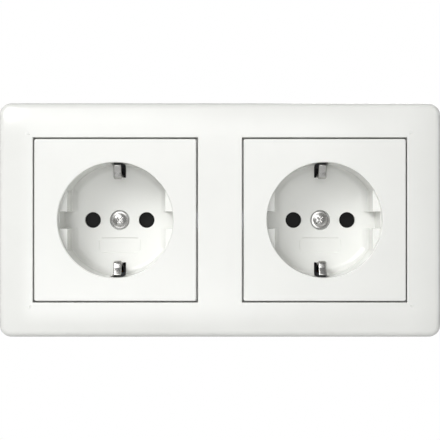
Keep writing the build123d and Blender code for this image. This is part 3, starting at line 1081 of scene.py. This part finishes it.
@dataclass
class EarthStrap:
    """The bar under a cup with a sprung tongue at each end.

    Args:
        sheet: Thickness of the sheet, in millimetres.
        width: Width of a tongue.
        body_width: Width of the bar.
        body_reach: Half the length of the bar.
        body_middle: Height of the bar's middle.
        corners: Corners of the upper tongue, as Y and Z.
        bend: Radius of the bends.
        hole_radius: Radius of the hole for the cover screw.
        bar_low: Lowest corner of the bar for the wires.
        bar_high: Highest corner of the bar for the wires.
        edge: Width of the rounded edges.
        edge_angle: Smallest angle of an edge that is rounded, in degrees.
        finish: Finish of the strap.
    """

    sheet: float = 0.8
    width: float = 2.6
    body_width: float = 6.0
    body_reach: float = 14.2
    body_middle: float = -12.4
    corners: tuple[Point, ...] = (
        (3.0, -12.4), (16.6, -12.4), (16.6, -9.0), (14.35, 0.9), (16.7, 1.5), (19.2, 2.95),
    )
    bend: float = 1.2
    hole_radius: float = 1.8
    bar_low: Triple = (-0.4, -18.4, -28.0)
    bar_high: Triple = (0.4, -9.0, -12.6)
    edge: float = 0.34
    edge_angle: float = 50.0
    finish: Finish = NICKEL

    def tongue(self) -> bpy.types.Object:
        """Bend the upper tongue out of a strip of sheet.

        Returns:
            The tongue with rounded edges.
        """
        strip = draw_profile("earth_tongue", rounded_route(self.corners, self.bend))
        turn(strip, 90.0)
        with editing(strip):
            bpy.ops.mesh.select_all(action="SELECT")
            bpy.ops.transform.translate(value=(-self.width / 2 * MM, 0.0, 0.0))
            push_out((self.width * MM, 0.0, 0.0))
        wall = strip.modifiers.new("wall", "SOLIDIFY")
        wall.thickness = self.sheet * MM
        wall.offset = 0.0
        wall.use_even_offset = True
        settle(strip)
        with editing(strip):
            clean_up()
        soften(strip, self.edge, segments=3, angle=self.edge_angle)
        return strip

    def body(self) -> bpy.types.Object:
        """Make the bar with its hole.

        Returns:
            The bar with rounded edges.
        """
        half = self.body_width / 2
        low, high = self.body_middle - self.sheet / 2, self.body_middle + self.sheet / 2
        bar = block("earth_strap", (-half, -self.body_reach, low), (half, self.body_reach, high))
        drill = rod("drill", self.hole_radius, low - CLEAR, high + CLEAR, steps=40)
        combine(bar, drill, Combine.CUT)
        soften(bar, self.edge, angle=self.edge_angle)
        return bar

    def build(self) -> bpy.types.Object:
        """Model the strap at the middle of its insert.

        Returns:
            The bar, both tongues and the bar for the wires as one object.
        """
        upper = self.tongue()
        lower = turn(copy_of(upper, "earth_tongue_low"), 180.0)
        wires = block("earth_wire_bar", self.bar_low, self.bar_high)
        soften(wires, self.edge, angle=self.edge_angle)
        body = self.body()
        return fused([body, upper, lower, wires], body.name)

    def place(self, strap: bpy.types.Object, side: Side) -> None:
        """Put the strap under one cup."""
        strap.name = side.node("earth_strap_metal")
        stand_in(strap, side.middle, side.node("earth_strap"), "housing", self.finish)


@dataclass
class ClawScrew:
    """A slotted screw whose nut plate swings a claw outwards.

    Args:
        reach: Distance of its axis from the middle of the insert, in millimetres.
        seat: Height of the ring's front, under the head.
        head_radius: Radius of the head.
        head_height: Height of the head.
        slot_width: Width of the slot.
        slot_depth: Depth of the slot.
        core_radius: Radius of the shank between the threads.
        crest_radius: Radius of the thread's crest.
        length: Length of the shank.
        pitch: Rise of one turn of the thread.
        edge: Width of the rounded edges.
        finish: Finish of the screw.
    """

    reach: float = 24.1
    seat: float = 1.1
    head_radius: float = 2.6
    head_height: float = 1.7
    slot_width: float = 0.8
    slot_depth: float = 0.85
    core_radius: float = 1.22
    crest_radius: float = 1.5
    length: float = 24.0
    pitch: float = 0.5
    edge: float = 0.14
    finish: Finish = ZINC_STEEL

    def build(self) -> bpy.types.Object:
        """Model the screw on the axis of its insert.

        Returns:
            The screw with its thread.
        """
        top, tip = self.seat + self.head_height, self.seat - self.length
        screw = lathe("claw_screw", [
            (0.0, top),
            (self.head_radius, top),
            (self.head_radius, self.seat),
            (self.core_radius, self.seat),
            (self.core_radius, tip + self.pitch),
            (self.core_radius / 2, tip),
            (0.0, tip),
        ], steps=56)
        long, half = self.head_radius + CLEAR, self.slot_width / 2
        slot = block("slot_wedge", (-long, -half, top - self.slot_depth), (long, half, top + CLEAR))
        combine(screw, slot, Combine.CUT)
        soften(screw, self.edge, segments=3, angle=30.0)
        return threaded(screw, self.core_radius, self.crest_radius, tip, self.length, self.pitch)

    def place(self, screw: bpy.types.Object, side: Side) -> None:
        """Put one screw on each side of an insert.

        Args:
            screw: Screw on the axis of its insert.
            side: Insert that takes it and its copy.
        """
        other = copy_of(screw, side.node("claw_screw_metal_b"))
        screw.name = side.node("claw_screw_metal_a")
        for piece, letter, way in ((screw, "a", -1), (other, "b", 1)):
            name = side.node(f"claw_screw_{letter}")
            stand_in(piece, side.middle + way * self.reach, name, name, self.finish)


@dataclass(frozen=True)
class Lamp:
    """One square soft light that faces the object.

    Args:
        name: Name of the light.
        place: Where it stands, in metres.
        size: Side of the light, in metres.
        power: Power in watts.
    """

    name: str
    place: Triple
    size: float
    power: float

    def build(self) -> None:
        """Add the light to the scene."""
        data = bpy.data.lights.new(self.name, "AREA")
        data.size = self.size
        data.energy = self.power
        lamp = bpy.data.objects.new(self.name, data)
        lamp.location = self.place
        lamp.rotation_euler = (-Vector(self.place)).to_track_quat("-Z", "Y").to_euler()
        bpy.context.scene.collection.objects.link(lamp)


STUDIO_LAMPS = (
    Lamp("front", (-0.12, -1.35, 0.06), 0.7, 1.95),
    Lamp("front_up", (-0.05, -1.3, 0.35), 0.5, 1.22),
    Lamp("front_low", (-0.15, -1.1, -0.25), 0.4, 0.95),
    Lamp("upper_left", (-0.75, -0.95, 0.75), 0.7, 4.4),
    Lamp("upper_left_near", (-0.5, -0.6, 0.5), 0.35, 2.42),
    Lamp("upper_left_front", (-0.35, -0.65, 0.35), 0.35, 0.39),
    Lamp("upper_front", (-0.2, -0.8, 0.45), 0.35, 0.7),
    Lamp("right", (1.25, -0.5, 0.0), 0.7, 2.1),
    Lamp("behind", (0.5, 1.2, 0.5), 0.8, 6.0),
)


@dataclass
class Studio:
    """Camera, lights and floor of the photograph.

    Args:
        view_distance: From the covers' front to the camera, in metres.
        focal_pixels: Focal length in pixels of the photograph.
        photo_width: Width of the photograph in pixels.
        sensor_width: Width of the camera's sensor, in millimetres.
        cover_front: Y of the covers' front, in metres.
        floor_height: Height of the floor, in metres.
        floor_width: Width of the floor, in metres.
        glow: Strength of the light that comes from all round, in front and behind.
        side_glow: Strength of the same light at the sides, above and below.
        lamps: Soft lights round the object.
    """

    view_distance: float = 0.380
    focal_pixels: float = 1122.0
    photo_width: float = 440.0
    sensor_width: float = 36.0
    cover_front: float = -0.0105
    floor_height: float = -0.25
    floor_width: float = 0.9
    glow: float = 0.34
    side_glow: float = 0.06
    lamps: tuple[Lamp, ...] = STUDIO_LAMPS

    def camera(self) -> None:
        """Place a level camera straight in front of the object."""
        data = bpy.data.cameras.new("front_camera")
        data.sensor_width = self.sensor_width
        data.lens = self.sensor_width * self.focal_pixels / self.photo_width
        camera = bpy.data.objects.new("front_camera", data)
        camera.location = (0.0, self.cover_front - self.view_distance, 0.0)
        camera.rotation_euler = (math.radians(90), 0.0, 0.0)
        bpy.context.scene.collection.objects.link(camera)
        bpy.context.scene.camera = camera

    def surroundings(self) -> None:
        """Make the white background, which lights less than it shows, least from the sides."""
        world = bpy.data.worlds.new("studio")
        bpy.context.scene.world = world
        world.use_nodes = True
        nodes, links = world.node_tree.nodes, world.node_tree.links
        sky = nodes["Background"]
        way = nodes.new("ShaderNodeTexCoord")
        apart = nodes.new("ShaderNodeSeparateXYZ")
        links.new(way.outputs["Generated"], apart.inputs["Vector"])
        along = nodes.new("ShaderNodeMath")
        along.operation = "ABSOLUTE"
        links.new(apart.outputs["Y"], along.inputs[0])
        dim = nodes.new("ShaderNodeMapRange")
        dim.inputs["To Min"].default_value = self.side_glow
        dim.inputs["To Max"].default_value = self.glow
        links.new(along.outputs["Value"], dim.inputs["Value"])
        links.new(dim.outputs["Result"], sky.inputs["Strength"])
        paper = nodes.new("ShaderNodeBackground")
        paper.inputs["Strength"].default_value = 1.0
        for shade in (sky, paper):
            shade.inputs["Color"].default_value = (1.0, 1.0, 1.0, 1.0)
        rays = nodes.new("ShaderNodeLightPath")
        mix = nodes.new("ShaderNodeMixShader")
        links.new(rays.outputs["Is Camera Ray"], mix.inputs["Fac"])
        links.new(sky.outputs["Background"], mix.inputs[1])
        links.new(paper.outputs["Background"], mix.inputs[2])
        links.new(mix.outputs["Shader"], nodes["World Output"].inputs["Surface"])

    def floor(self) -> None:
        """Lay a plain pale floor well below the object."""
        bpy.ops.mesh.primitive_plane_add(
            size=self.floor_width, location=(0.0, 0.0, self.floor_height)
        )
        floor = bpy.context.active_object
        floor.name = "floor"
        dress(floor, Finish("pale_floor", (0.82, 0.82, 0.82), 0.7, grain_height=0.0))

    def build(self) -> None:
        """Set up the whole studio."""
        bpy.context.scene.view_settings.view_transform = "Standard"
        self.camera()
        self.surroundings()
        for lamp in self.lamps:
            lamp.build()
        self.floor()
        LOG.info("studio is set up with %d lamps", len(self.lamps))


def finish_cad_nodes(nodes: dict[str, bpy.types.Object]) -> None:
    """Dress the nodes of the frame that no modelled piece stands for.

    Args:
        nodes: Objects of the frame by node name.
    """
    dress(nodes["cover_frame"], WHITE_PLASTIC)
    for side in Side:
        for name, finish in NODE_FINISHES.items():
            dress(nodes[side.node(name)], finish)
    LOG.info("%d nodes are dressed", 1 + len(Side) * len(NODE_FINISHES))


def main() -> None:
    """Build the studio, dress the object and put in the pieces modelled for it."""
    logging.basicConfig(level=logging.INFO, format="%(name)s: %(message)s")
    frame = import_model()
    Studio().build()
    finish_cad_nodes(frame["nodes"])
    for maker in (Cover(), CoverScrew(), EarthStrap(), ClawScrew()):
        model = maker.build()
        maker.place(copy_of(model, "copy"), Side.LEFT)
        maker.place(model, Side.RIGHT)


if __name__ == "__main__":
    main()
